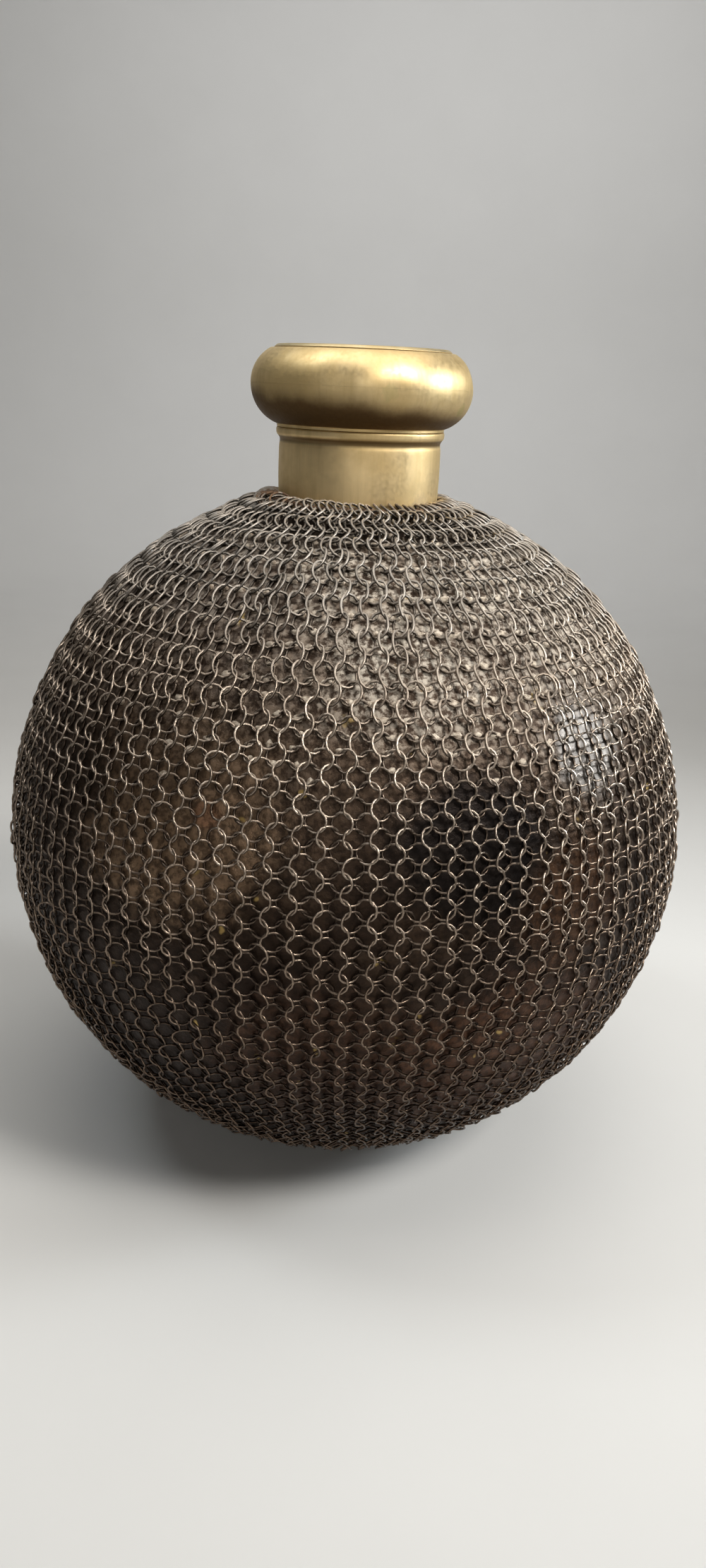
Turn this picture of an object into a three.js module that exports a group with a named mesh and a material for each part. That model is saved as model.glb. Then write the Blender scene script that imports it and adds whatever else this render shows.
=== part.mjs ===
// Round beaten-brass water pot with a short neck and a hollow doughnut lip, dressed in iron chain mail.
// Millimetres, +Z up. The origin lies on the floor, under the middle of the pot.
import * as THREE from 'three';

// Driving dimensions
const bodyRadius = 228.5;      // outside of the brass globe
const bodyWall = 1.6;          // sheet brass of the globe
const baseFlatRadius = 70;     // the globe is beaten flat here, so that it stands
const bellyLap = 14;           // height of the lower bowl's tongue inside the upper dome
const bellyJoggle = 6;         // height over which the bowl's wall steps in to the tongue
const neckRadius = 53.3;       // outside of the neck
const neckWall = 1.8;
const neckRise = 49.7;         // from the shoulder to the top of the neck's flare
const neckFlangeWidth = 9;     // the neck's foot, turned out under the shoulder
const flareOut = 1.7;          // the neck's top edge stands this far past the neck
const flareHeight = 7.3;
const lipOverhang = 19.3;      // the lip's widest line stands this far past the neck
const lipLowerArc = 26.4;      // radius of the lip's section below its widest line
const lipUpperArc = 24.8;      // and above it
const lipWall = 1.4;
const lipFootHeight = 1.6;     // the upright edge with which the lip stands on the flare
const lipLedge = 2.3;          // flat of the upper shell that shows outside the rim
const sleeveWall = 1.6;        // mouth sleeve, which passes through the lip into the neck
const sleeveDepth = 20;        // its length inside the neck
const rimWidth = 6.3;          // the sleeve's top, turned out over the lip
const rimThickness = 2;
const rimChamfer = 2.2;        // width of the slope on the rim's edge
const mailThickness = 6.2;     // linked rings, lying at a slant
const strandCount = 48;        // upright strands of linked rings, each for about two columns of rings
const strandRise = 4.4;        // from the hollows between the strands to their crests
const strandWidth = 15;        // at the foot of a strand, on the belly
const crestWidth = 9;          // and on its crest
const strandRow = 29;          // height over which a strand leans one way, before it leans back
const strandSway = 12;         // how far it leans
const baseNetMargin = 17;      // the base net reaches this far up the side, past its flat
const ringWire = 1.5;          // the mail's wire, which passes between the draw wire and the neck
const drawWireRadius = 1.5;    // wire that gathers the top course of rings round the neck
const seatGap = 0.3;           // between pieces that touch
const turnSteps = 48;          // facets round the pot
const arcStep = 9;             // degrees between points on the globe's profile
const lipArcSteps = 6;
const wireSides = 10;

// Heights and radii that follow from them
const baseDrop = Math.sqrt(bodyRadius ** 2 - baseFlatRadius ** 2);
const baseHeight = mailThickness + seatGap;
const centreHeight = baseHeight + baseDrop;
const innerRadius = bodyRadius - bodyWall;
const tongueRadius = innerRadius - seatGap;
const neckTop = centreHeight + Math.sqrt(bodyRadius ** 2 - neckRadius ** 2) + neckRise;
const neckBore = neckRadius - neckWall;
const flareRadius = neckRadius + flareOut;
const lipRadius = neckRadius + lipOverhang;
const sleeveRadius = neckBore - seatGap;
const rimRadius = sleeveRadius + rimWidth;
const ledgeRadius = rimRadius + lipLedge;
const lipBore = sleeveRadius + seatGap;
const lipLowerCentre = lipRadius - lipLowerArc;
const lipUpperCentre = lipRadius - lipUpperArc;
const lipFootTop = neckTop + seatGap + lipFootHeight;
const lipMiddle = lipFootTop + Math.sqrt(lipLowerArc ** 2 - (flareRadius - lipLowerCentre) ** 2);
const lipTop = lipMiddle + Math.sqrt(lipUpperArc ** 2 - (ledgeRadius - lipUpperCentre) ** 2);
const mailInner = bodyRadius + seatGap;
const mailOuter = mailInner + mailThickness;
const netEdgeRadius = Math.sqrt(mailOuter ** 2 - centreHeight ** 2) + baseNetMargin;
const netEdgeAngle = -Math.acos(netEdgeRadius / mailOuter);
const netGapAngle = seatGap / mailInner;
const hoopRadius = neckRadius + 2 * seatGap + ringWire + drawWireRadius;
const hoopSphere = mailInner + mailThickness / 2;

const point = (radius, height) => new THREE.Vector2(radius, height);

// Elevation, from the globe's centre, of a place on a sphere at a given radius from the axis or height.
const elevationAtRadius = (sphere, radius) => Math.acos(radius / sphere);
const elevationAtHeight = (sphere, height) => Math.asin(height / sphere);

// Points on a sphere about the globe's centre. Every sphere has its points at the same elevations,
// so that nested pieces keep their gap, and the ends and any extra places are added between them.
function globeArc(sphere, from, to, extra = []) {
  const step = THREE.MathUtils.degToRad(arcStep);
  const low = Math.min(from, to);
  const high = Math.max(from, to);
  const stops = [low, high, ...extra];
  for (let angle = Math.ceil(low / step) * step; angle < high; angle += step) {
    if (stops.every((stop) => Math.abs(stop - angle) > step / 20)) {
      stops.push(angle);
    }
  }
  stops.sort((a, b) => (a - b) * Math.sign(to - from));
  return stops.map((angle) => point(sphere * Math.cos(angle), centreHeight + sphere * Math.sin(angle)));
}

// Place on a sphere about the globe's centre, by its elevation and its turn about +Z from +X.
function globePlace(sphere, rise, turn) {
  const radius = sphere * Math.cos(rise);
  return new THREE.Vector3(radius * Math.cos(turn), radius * Math.sin(turn), centreHeight + sphere * Math.sin(rise));
}

// Points on a round section of the lip, between two heights over its middle.
function lipArc(centre, radius, from, to) {
  const start = Math.asin(from / radius);
  const end = Math.asin(to / radius);
  const points = [];
  for (let i = 0; i <= lipArcSteps; i += 1) {
    const angle = start + ((end - start) * i) / lipArcSteps;
    points.push(point(centre + radius * Math.cos(angle), lipMiddle + radius * Math.sin(angle)));
  }
  return points;
}

// A solid of revolution about +Z. The profile runs up the outside and down the inside.
function turned(profile) {
  return new THREE.LatheGeometry(profile, turnSteps).rotateX(Math.PI / 2);
}

function turnedRing(profile) {
  return turned([...profile, profile[0].clone()]);
}

// A closed skin through rings of places, each ring joined to the next and the last one to the first.
// Rings may differ in their number of places, and a join goes round both at the same rate.
function ringedSkin(rings) {
  const faces = [];
  let start = 0;
  rings.forEach((ring, order) => {
    const next = rings[(order + 1) % rings.length];
    const nextStart = order + 1 < rings.length ? start + ring.length : 0;
    let here = 0;
    let there = 0;
    while (here < ring.length || there < next.length) {
      const first = start + (here % ring.length);
      const last = nextStart + (there % next.length);
      if (here * next.length <= there * ring.length) {
        here += 1;
        faces.push(first, start + (here % ring.length), last);
      } else {
        there += 1;
        faces.push(first, nextStart + (there % next.length), last);
      }
    }
    start += ring.length;
  });
  const geometry = new THREE.BufferGeometry().setFromPoints(rings.flat());
  geometry.setIndex(faces);
  geometry.computeVertexNormals();
  return geometry;
}

function agedBrass(colour, roughness) {
  return new THREE.MeshStandardMaterial({ color: colour, roughness, metalness: 1 });
}

function darkIron(colour) {
  return new THREE.MeshStandardMaterial({ color: colour, roughness: 0.55, metalness: 0.9 });
}

// Lower half of the globe, with its beaten flat and the joggled tongue that the dome laps over.
function bodyLowerBowl() {
  const seam = elevationAtHeight(bodyRadius, -seatGap / 2);
  const lapTop = elevationAtHeight(tongueRadius, bellyLap);
  const joggle = elevationAtHeight(innerRadius, -bellyJoggle);
  const floorInside = baseHeight + bodyWall;
  const flatInside = Math.sqrt(innerRadius ** 2 - (centreHeight - floorInside) ** 2);
  const profile = [
    point(0, baseHeight),
    ...globeArc(bodyRadius, -elevationAtRadius(bodyRadius, baseFlatRadius), seam),
    ...globeArc(tongueRadius, seam, lapTop),
    ...globeArc(tongueRadius - bodyWall, lapTop, 0),
    ...globeArc(innerRadius, joggle, -elevationAtRadius(innerRadius, flatInside)),
    point(0, floorInside),
  ];
  return new THREE.Mesh(turned(profile), agedBrass('#6b4a2a', 0.6));
}

// Upper half of the globe, open at the shoulder for the neck.
function bodyUpperDome() {
  const seam = elevationAtHeight(bodyRadius, seatGap / 2);
  const holeRadius = neckRadius + seatGap;
  const lapTop = elevationAtHeight(innerRadius, bellyLap);
  const profile = [
    ...globeArc(bodyRadius, seam, elevationAtRadius(bodyRadius, holeRadius)),
    ...globeArc(innerRadius, elevationAtRadius(innerRadius, holeRadius), seam, [lapTop]),
  ];
  return new THREE.Mesh(turnedRing(profile), agedBrass('#7a5a34', 0.55));
}

// Neck tube: its foot is turned out under the shoulder, and its top edge is flared to carry the lip.
function neckCollar() {
  const underside = tongueRadius - neckWall;
  const flangeRadius = neckRadius + neckFlangeWidth;
  const flareStart = neckTop - flareHeight;
  const profile = [
    ...globeArc(tongueRadius, elevationAtRadius(tongueRadius, flangeRadius),
      elevationAtRadius(tongueRadius, neckRadius)),
    point(neckRadius, flareStart),
    point(flareRadius, neckTop),
    point(flareRadius - neckWall, neckTop),
    point(neckBore, flareStart),
    ...globeArc(underside, elevationAtRadius(underside, neckBore), elevationAtRadius(underside, flangeRadius)),
  ];
  return new THREE.Mesh(turnedRing(profile), agedBrass('#b59a63', 0.35));
}

// Lower half of the hollow lip, standing on the flare with an upright foot.
function lipLowerShell() {
  const inside = lipLowerArc - lipWall;
  const foot = lipFootTop - lipFootHeight;
  const insideDrop = Math.sqrt(inside ** 2 - (lipBore - lipLowerCentre) ** 2);
  const profile = [
    point(lipBore, foot),
    point(flareRadius, foot),
    ...lipArc(lipLowerCentre, lipLowerArc, lipFootTop - lipMiddle, -seatGap / 2),
    ...lipArc(lipLowerCentre, inside, -seatGap / 2, -insideDrop),
  ];
  return new THREE.Mesh(turnedRing(profile), agedBrass('#9a7d48', 0.35));
}

// Upper half of the hollow lip, with a flat top that the rim is turned over.
function lipUpperShell() {
  const inside = lipUpperArc - lipWall;
  const rise = lipTop - lipMiddle;
  const insideRise = rise - lipWall;
  const profile = [
    ...lipArc(lipUpperCentre, lipUpperArc, seatGap / 2, rise),
    point(lipBore, lipTop),
    point(lipBore, lipMiddle + insideRise),
    ...lipArc(lipUpperCentre, inside, insideRise, seatGap / 2),
  ];
  return new THREE.Mesh(turnedRing(profile), agedBrass('#c9b079', 0.3));
}

// Mouth sleeve: a tube through the lip into the neck, with its top turned out over the lip as the rim.
function mouthSleeve() {
  const throat = sleeveRadius - sleeveWall;
  const rimUnder = lipTop + seatGap;
  const rimTop = rimUnder + rimThickness;
  const profile = [
    point(throat, neckTop - sleeveDepth),
    point(sleeveRadius, neckTop - sleeveDepth),
    point(sleeveRadius, rimUnder),
    point(rimRadius, rimUnder),
    point(rimRadius - rimChamfer, rimTop),
    point(throat, rimTop),
  ];
  return new THREE.Mesh(turnedRing(profile), agedBrass('#d3bd88', 0.3));
}

// Wire hoop threaded through the top course of rings, half way through the mail's thickness.
function neckDrawWire() {
  const height = centreHeight + Math.sqrt(hoopSphere ** 2 - hoopRadius ** 2);
  const profile = [];
  for (let i = 0; i < wireSides; i += 1) {
    const angle = (2 * Math.PI * i) / wireSides;
    const radius = hoopRadius + drawWireRadius * Math.cos(angle);
    profile.push(point(radius, height + drawWireRadius * Math.sin(angle)));
  }
  return new THREE.Mesh(turnedRing(profile), darkIron('#5a4030'));
}

// Mail round the side of the globe, up to the draw wire: a skin with upright strands on it, which lean one way
// and the other from row to row, as the mail's linked rings do.
function mailSideNet() {
  const bottom = netEdgeAngle + netGapAngle;
  const top = elevationAtRadius(hoopSphere, hoopRadius) - (drawWireRadius + seatGap) / hoopSphere;
  const rows = 2 * Math.round((mailOuter * (top - bottom)) / (2 * strandRow));
  const section = [
    [-strandWidth / 2, mailOuter - strandRise],
    [-crestWidth / 2, mailOuter],
    [crestWidth / 2, mailOuter],
    [strandWidth / 2, mailOuter - strandRise],
  ];
  const rings = [];
  for (let row = 0; row <= rows; row += 1) {
    const rise = bottom + ((top - bottom) * row) / rows;
    const lean = (row % 2 - 0.5) * strandSway;
    const ring = [];
    for (let strand = 0; strand < strandCount; strand += 1) {
      for (const [across, sphere] of section) {
        const turn = (2 * Math.PI * strand) / strandCount + (across + lean) / mailOuter;
        ring.push(globePlace(sphere, rise, turn));
      }
    }
    rings.push(ring);
  }
  for (const stop of globeArc(mailInner, top, bottom)) {
    const ring = [];
    for (let step = 0; step < turnSteps; step += 1) {
      const turn = (2 * Math.PI * step) / turnSteps;
      ring.push(new THREE.Vector3(stop.x * Math.cos(turn), stop.x * Math.sin(turn), stop.y));
    }
    rings.push(ring);
  }
  return new THREE.Mesh(ringedSkin(rings), darkIron('#4d4843'));
}

// Mail under the globe, flat where the pot stands on it.
function mailBaseNet() {
  const flatOutside = Math.sqrt(mailOuter ** 2 - centreHeight ** 2);
  const flatInside = Math.sqrt(mailInner ** 2 - (centreHeight - mailThickness) ** 2);
  const profile = [
    point(0, 0),
    ...globeArc(mailOuter, -elevationAtRadius(mailOuter, flatOutside), netEdgeAngle),
    ...globeArc(mailInner, netEdgeAngle, -elevationAtRadius(mailInner, flatInside)),
    point(0, mailThickness),
  ];
  return new THREE.Mesh(turned(profile), darkIron('#453f3a'));
}

const pieces = {
  body_lower_bowl: bodyLowerBowl(),
  body_upper_dome: bodyUpperDome(),
  neck_collar: neckCollar(),
  lip_lower_shell: lipLowerShell(),
  lip_upper_shell: lipUpperShell(),
  mouth_sleeve: mouthSleeve(),
  neck_draw_wire: neckDrawWire(),
  mail_side_net: mailSideNet(),
  mail_base_net: mailBaseNet(),
};

const waterPot = new THREE.Group();
waterPot.name = 'brass_water_pot';
for (const [name, mesh] of Object.entries(pieces)) {
  mesh.name = name;
  waterPot.add(mesh);
}

export default waterPot;
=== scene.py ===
import math

import bpy
import numpy as np
from mathutils import Matrix, Vector


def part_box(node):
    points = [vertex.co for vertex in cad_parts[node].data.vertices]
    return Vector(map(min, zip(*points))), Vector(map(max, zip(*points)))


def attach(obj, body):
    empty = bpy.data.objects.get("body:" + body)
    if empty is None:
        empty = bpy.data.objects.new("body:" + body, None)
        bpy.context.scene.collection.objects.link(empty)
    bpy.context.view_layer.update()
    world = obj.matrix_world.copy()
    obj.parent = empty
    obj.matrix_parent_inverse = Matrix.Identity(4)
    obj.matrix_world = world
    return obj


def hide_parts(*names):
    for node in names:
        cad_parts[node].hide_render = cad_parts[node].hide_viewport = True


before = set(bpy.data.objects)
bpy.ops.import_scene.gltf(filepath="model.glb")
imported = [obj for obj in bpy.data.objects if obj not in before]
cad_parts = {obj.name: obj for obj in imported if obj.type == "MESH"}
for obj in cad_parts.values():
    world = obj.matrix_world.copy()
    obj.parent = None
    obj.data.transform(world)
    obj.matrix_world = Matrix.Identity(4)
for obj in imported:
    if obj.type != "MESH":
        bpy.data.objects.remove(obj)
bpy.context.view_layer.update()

# Globe: two bowls raised from sheet brass, the upper one lapped over the lower at the belly and brazed.
# The hammer's marks are left on it, handling has browned it, and dust is caked on its shoulder.
dome_low, dome_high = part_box("body_upper_dome")
bowl_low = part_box("body_lower_bowl")[0]
globe_radius = dome_high.x
sheet = 0.0016
seat_gap = 0.0003
globe_centre = dome_low.z - seat_gap / 2
base_plane = bowl_low.z
shoulder_hole = 0.0536
belly_lap = 0.014
belly_joggle = 0.006
hammer_depth = 0.00022
globe_turns = 240
tongue_radius = globe_radius - sheet - seat_gap
dust_depth = 0.0014
swept_turn = 228
swept_turn_reach = 34
swept_rise = 40
swept_rise_reach = 22
# Middle of a patch painted near black on the globe and darker on the rings: a painted dark reflection.
dark_reflection_spot = (0.073, -0.210, globe_centre + 0.062)
lost_ring_way = (-0.0763, -0.2050, 0.0733)


def arc_up(sphere, low, high, steps):
    """Profile on a sphere about the globe's centre: elevations in even steps from low to high, each at
    radius = sphere x cos(elevation) and height = centre + sphere x sin(elevation)."""
    rise = np.linspace(low, high, steps)
    return np.stack([sphere * np.cos(rise), globe_centre + sphere * np.sin(rise)], axis=1)


def put_mesh(name, points, faces, crease=None):
    """Object at the origin with these points and faces, shaded smooth, and sharp where faces meet at more
    than the crease angle in degrees."""
    mesh = bpy.data.meshes.new(name)
    mesh.from_pydata(points, [], faces, shade_flat=False)
    if crease is not None:
        mesh.set_sharp_from_angle(angle=math.radians(crease))
    piece = bpy.data.objects.new(name, mesh)
    bpy.context.collection.objects.link(piece)
    return piece


def turned_sheet(name, radius, height, closed=True, crease=30):
    """Sheet turned about +Z. radius and height are tables of profile stops by turns, and stop i at turn j
    goes to (radius cos a, radius sin a, height) with a = 2 pi j / turns. A closed profile runs up the outside
    and down the inside; an open one starts and ends at a point on the axis."""
    stops, turns = radius.shape
    turn = np.arange(turns) * 2 * math.pi / turns
    points = np.stack([radius * np.cos(turn), radius * np.sin(turn), height], axis=-1).reshape(-1, 3)
    index = np.arange(stops * turns).reshape(stops, turns)
    beside = np.roll(index, -1, axis=1)
    if closed:
        quads = np.stack([index, beside, np.roll(beside, -1, axis=0), np.roll(index, -1, axis=0)], axis=-1)
        return put_mesh(name, points, quads.reshape(-1, 4).tolist(), crease)
    quads = np.stack([index[:-1], beside[:-1], beside[1:], index[1:]], axis=-1).reshape(-1, 4)
    first, last = stops * turns, stops * turns + 1
    fans = np.concatenate([
        np.stack([np.full(turns, first), beside[0], index[0]], axis=-1),
        np.stack([index[-1], beside[-1], np.full(turns, last)], axis=-1)])
    poles = np.array([[0, 0, height[0].mean()], [0, 0, height[-1].mean()]])
    return put_mesh(name, np.concatenate([points, poles]), quads.tolist() + fans.tolist(), crease)


def eased(value, low, high):
    """Smooth step of whole arrays, from 0 at low to 1 at high."""
    share = np.clip((value - low) / (high - low), 0, 1)
    return share * share * (3 - 2 * share)


def hammered(profile, turns, depth, seed, crust=0.0):
    """Tables of radius and height for a hammered sheet: the profile is moved along the line from the globe's
    centre by the crust and by depth times four times the mean of sixteen waves, each with whole numbers of
    waves round the globe."""
    draw = np.random.default_rng(seed)
    turn = np.arange(turns) * 2 * math.pi / turns
    rise = np.arctan2(profile[:, 1] - globe_centre, profile[:, 0])
    round_waves = draw.integers(-46, 47, 16)[:, None, None]
    rise_waves = draw.uniform(-46, 46, 16)[:, None, None]
    phase = draw.uniform(0, 2 * math.pi, 16)[:, None, None]
    waves = np.cos(round_waves * turn[None, None, :] + rise_waves * rise[None, :, None] + phase)
    grow = 1 + (crust + depth * 4 * waves.mean(axis=0)) / globe_radius
    return profile[:, :1] * grow, globe_centre + (profile[:, 1:] - globe_centre) * grow


def elevation_at(sphere, radius):
    """Elevation at which a sphere about the globe's centre has this radius about the axis."""
    return math.acos(radius / sphere)


def swept_clean(turn, rise):
    """Share of dust wiped off the left of the shoulder: a bell of the turn and the elevation, in degrees."""
    across = (turn - swept_turn) / swept_turn_reach
    up = (rise - swept_rise) / swept_rise_reach
    return np.exp(-across ** 2 - up ** 2)


inside_radius = globe_radius - sheet
seam_rise = seat_gap / 6 / globe_radius
hole_rise = elevation_at(globe_radius, shoulder_hole)
dome_stops = 100
dome_profile = np.concatenate([
    arc_up(globe_radius, seam_rise, hole_rise, dome_stops),
    arc_up(inside_radius, elevation_at(inside_radius, shoulder_hole), seam_rise, 40)])
dust_rise = np.degrees(np.linspace(seam_rise, hole_rise, dome_stops))[:, None]
dust_turn = np.arange(globe_turns)[None, :] * 360 / globe_turns
dust_crust = np.zeros((len(dome_profile), globe_turns))
dust_crust[:dome_stops] = dust_depth * eased(dust_rise, 22, 32) * (1 - eased(dust_rise, 62, 69))
dust_crust[:dome_stops] *= 1 - 0.8 * swept_clean(dust_turn, dust_rise)
upper_dome = turned_sheet("upper_dome", *hammered(dome_profile, globe_turns, hammer_depth, 11, dust_crust))

flat_radius = math.sqrt(globe_radius ** 2 - (globe_centre - base_plane) ** 2)
floor_inside = base_plane + sheet
flat_inside = math.sqrt(inside_radius ** 2 - (globe_centre - floor_inside) ** 2)
lap_rise = math.asin(belly_lap / tongue_radius)
joggle_rise = math.asin(-belly_joggle / inside_radius)
flat_stops = np.linspace(0.2, 0.98, 6)[:, None]
bowl_profile = np.concatenate([
    flat_stops * np.array([[flat_radius, 0]]) + np.array([[0, base_plane]]),
    arc_up(globe_radius, -elevation_at(globe_radius, flat_radius), -seam_rise, 96),
    arc_up(tongue_radius, -seam_rise, lap_rise, 8),
    arc_up(tongue_radius - sheet, lap_rise, 0, 8),
    arc_up(inside_radius, joggle_rise, -elevation_at(inside_radius, flat_inside), 40),
    flat_stops[::-1] * np.array([[flat_inside, 0]]) + np.array([[0, floor_inside]])])
bowl_tables = hammered(bowl_profile, globe_turns, hammer_depth, 11)
lower_bowl = turned_sheet("lower_bowl", *bowl_tables, closed=False)


def feed(tree, made, inputs):
    """Feeds each input of a node, by name or number, with a plain value or with another node's output."""
    for socket, value in inputs.items():
        if isinstance(value, bpy.types.NodeSocket):
            tree.links.new(value, made.inputs[socket])
        else:
            made.inputs[socket].default_value = value


def place(tree, kind, inputs, **fields):
    """Adds a shader node with its own fields and inputs."""
    made = tree.nodes.new("ShaderNode" + kind)
    for field, value in fields.items():
        setattr(made, field, value)
    feed(tree, made, inputs)
    return made


def noise(tree, where, scale, detail=3.0, rough=0.55):
    """Noise value at a place."""
    fed = {"Vector": where, "Scale": scale, "Detail": detail, "Roughness": rough}
    return place(tree, "TexNoise", fed).outputs["Fac"]


def graded(tree, value, low, high, start=0.0, end=1.0):
    """Smooth step of a value, from start at low to end at high."""
    fed = {"Value": value, "From Min": low, "From Max": high, "To Min": start, "To Max": end}
    return place(tree, "MapRange", fed, interpolation_type="SMOOTHSTEP").outputs["Result"]


def sums(tree, operation, first, second):
    """Two values put together by a sum of this kind."""
    return place(tree, "Math", {0: first, 1: second}, operation=operation).outputs[0]


def times(tree, first, second):
    """Product of two values."""
    return sums(tree, "MULTIPLY", first, second)


def blended(tree, share, first, second, blend_type="MIX"):
    """Colour between first and second by share."""
    fed = {0: share, 6: first, 7: second}
    return place(tree, "Mix", fed, data_type="RGBA", blend_type=blend_type).outputs[2]


def new_group(name, inputs, outputs):
    """Empty node group with named sockets. Returns its tree, what it is given and what it results in."""
    tree = bpy.data.node_groups.new(name, "ShaderNodeTree")
    for direction, sockets in (("INPUT", inputs), ("OUTPUT", outputs)):
        for label, kind in sockets:
            tree.interface.new_socket(label, in_out=direction, socket_type="NodeSocket" + kind)
    return tree, tree.nodes.new("NodeGroupInput").outputs, tree.nodes.new("NodeGroupOutput").inputs


def use_group(tree, group, inputs):
    """Puts a node group into a tree. Returns its outputs."""
    made = tree.nodes.new("ShaderNodeGroup")
    made.node_tree = group
    feed(tree, made, inputs)
    return made.outputs


def new_material(name):
    """Material with its tree, its Principled shader and an Object coordinate to start from."""
    material = bpy.data.materials.new(name)
    material.use_nodes = True
    tree = material.node_tree
    where = place(tree, "TexCoord", {}).outputs["Object"]
    return material, tree, tree.nodes["Principled BSDF"], where


# Dust group: dust lies where the surface is high on the globe, broken up in patches and in grains.
dust_cover, given, result = new_group(
    "dust_cover",
    [("Where", "Vector"), ("Height", "Float"), ("Bare below", "Float"), ("Full above", "Float"),
     ("Grain", "Float")],
    [("Dust", "Float"), ("Grains", "Float")])
level = place(dust_cover, "MapRange", {
    "Value": given["Height"], "From Min": given["Bare below"], "From Max": given["Full above"]},
    interpolation_type="SMOOTHSTEP").outputs["Result"]
patches = graded(dust_cover, noise(dust_cover, given["Where"], 22.0, 4.0, 0.6), 0.36, 0.62)
grains = noise(dust_cover, given["Where"], given["Grain"], 4.0, 0.65)
grain_mask = graded(dust_cover, grains, 0.38, 0.6)
share = times(dust_cover, level, times(dust_cover, patches, grain_mask))
caked = times(dust_cover, times(dust_cover, level, level), grain_mask)
dust_cover.links.new(sums(dust_cover, "MAXIMUM", share, caked), result["Dust"])
dust_cover.links.new(grains, result["Grains"])

# Ragged spot group: 1 inside a round spot whose edge is broken by noise, 0 outside.
ragged_spot, given, result = new_group(
    "ragged_spot",
    [("Where", "Vector"), ("Middle", "Vector"), ("Radius", "Float"), ("Ragged", "Float"), ("Grain", "Float")],
    [("Spot", "Float")])
away = place(ragged_spot, "VectorMath", {
    0: given["Where"], 1: given["Middle"]}, operation="DISTANCE").outputs["Value"]
away = sums(ragged_spot, "DIVIDE", away, given["Radius"])
wander = sums(ragged_spot, "SUBTRACT", noise(
    ragged_spot, given["Where"], given["Grain"], 4.0, 0.6), 0.5)
wander = times(ragged_spot, wander, given["Ragged"])
edge = graded(ragged_spot, sums(ragged_spot, "ADD", away, wander), 1.0, 0.55)
ragged_spot.links.new(edge, result["Spot"])


def spotted(tree, where, middle, radius, ragged, grain):
    """Mask of one ragged spot."""
    return use_group(tree, ragged_spot, {
        "Where": where, "Middle": middle, "Radius": radius, "Ragged": ragged, "Grain": grain})["Spot"]


globe_finish, tree, shader, where = new_material("browned_globe_brass")
apart = place(tree, "SeparateXYZ", {0: where})
height_of, across_of = apart.outputs["Z"], apart.outputs["X"]
cloud = noise(tree, where, 14.0, 5.0, 0.6)
speck = noise(tree, where, 230.0, 5.0, 0.65)
# Painted shade: the ground is darker towards the bottom.
upper = graded(tree, sums(tree, "ADD", height_of, graded(tree, cloud, 0.3, 0.7, -0.05, 0.05)),
               globe_centre - 0.06, globe_centre + 0.15)
ground = blended(tree, upper, (0.024, 0.013, 0.008, 1), (0.105, 0.067, 0.043, 1))
# Brown stains round the globe; the fourth, a tan spot on the left of the belly, is a painted sheen, a painted
# reflection of warm light.
brown_stains_and_sheen = ((0.135, -0.18, 0.020, 0.045, 0.6, (0.165, 0.080, 0.040, 1)),
               (0.105, -0.175, -0.100, 0.095, 0.65, (0.150, 0.068, 0.034, 1)),
               (-0.010, -0.215, -0.090, 0.080, 0.5, (0.120, 0.060, 0.034, 1)),
               (-0.100, -0.195, 0.070, 0.075, 0.85, (0.38, 0.25, 0.155, 1)),
               (*lost_ring_way, 0.012, 0.9, (0.42, 0.225, 0.13, 1)))
for across, deep, high, reach, share, tint in brown_stains_and_sheen:
    brown = spotted(tree, where, (across, deep, globe_centre + high), reach, 1.1, 26.0)
    ground = blended(tree, times(tree, brown, share), ground, tint)
ground = blended(tree, graded(tree, speck, 0.38, 0.60), blended(
    tree, 0.68, ground, (0.020, 0.012, 0.008, 1)), ground)
glint = graded(tree, noise(tree, where, 70.0, 2.0, 0.5), 0.70, 0.76)
ground = blended(tree, glint, ground, (0.52, 0.36, 0.13, 1))
dusty = use_group(tree, dust_cover, {
    "Where": where, "Height": height_of, "Bare below": globe_centre + 0.066,
    "Full above": globe_centre + 0.165, "Grain": 230.0})
# Painted dark reflection: in this patch the ground is painted near black and bare of dust.
dark_reflection_patch = spotted(tree, where, dark_reflection_spot, 0.056, 0.75, 30.0)
swept = spotted(tree, where, (-0.115, -0.130, globe_centre + 0.145), 0.115, 0.8, 26.0)
polished = spotted(tree, where, (0.142, -0.150, globe_centre + 0.104), 0.036, 0.9, 45.0)
# Painted shade: the ground is painted near black next to the neck, under the heaped rings, and darker on the
# swept left of the shoulder.
near_neck = graded(tree, height_of, globe_centre + 0.199, globe_centre + 0.213)
shaded = sums(tree, "MAXIMUM", near_neck, times(tree, swept, 0.35))
ground = blended(tree, shaded, ground, (0.030, 0.019, 0.013, 1))
ground = blended(tree, times(tree, dark_reflection_patch, 0.93), ground, (0.010, 0.007, 0.006, 1))
ground = blended(tree, times(tree, polished, 0.8), ground, (0.24, 0.22, 0.20, 1))
cover = sums(tree, "SUBTRACT", 1.0, sums(tree, "MAXIMUM", sums(tree, "MAXIMUM", dark_reflection_patch, polished), sums(
    tree, "MAXIMUM", near_neck, times(tree, swept, 0.5))))
dust = times(tree, times(tree, dusty["Dust"], cover), 0.9)
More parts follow.
